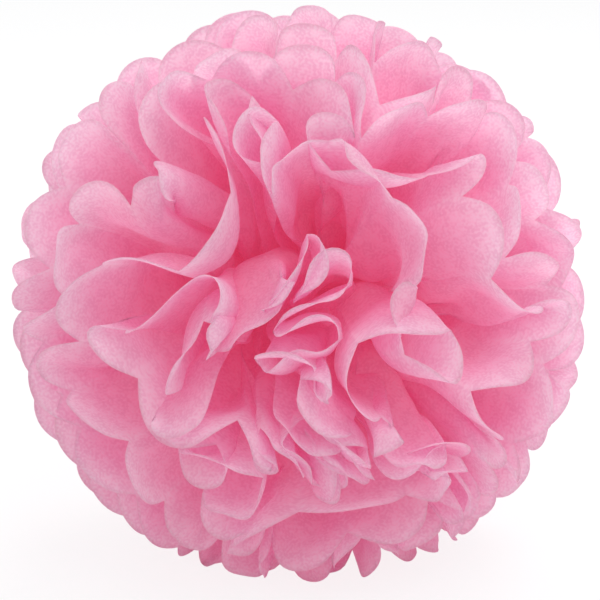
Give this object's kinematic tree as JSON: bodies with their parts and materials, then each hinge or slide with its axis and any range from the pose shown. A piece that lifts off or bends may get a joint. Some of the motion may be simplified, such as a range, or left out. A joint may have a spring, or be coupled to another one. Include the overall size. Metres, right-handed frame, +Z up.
{
  "type": "tissue paper pom pom",
  "caption": "Round party pom pom of pleated tissue paper sheets, gathered at the middle by a twisted wire, cut to scallops and pulled apart into a ruffled ball.",
  "frame": {"origin": "on the surface it rests on, under the middle of the ball's box", "axes": "+Z up; the flower's face, where the first sheets open, looks along -Y and 10 degrees upwards; +X to the right of the face"},
  "size_m": [0.2482, 0.2534, 0.2372],
  "materials": {
    "tissue": "matt, thin, translucent",
    "wire": "drawn"
  },
  "bodies": {
    "root": {"tissue_sheet_01": "tissue", "tissue_sheet_02": "tissue", "tissue_sheet_03": "tissue", "tissue_sheet_04": "tissue", "tissue_sheet_05": "tissue", "tissue_sheet_06": "tissue", "tissue_sheet_07": "tissue", "tissue_sheet_08": "tissue", "tissue_sheet_09": "tissue", "tissue_sheet_10": "tissue", "tissue_sheet_11": "tissue", "tissue_sheet_12": "tissue", "tie_wire": "wire"}
  },
  "joints": []
}
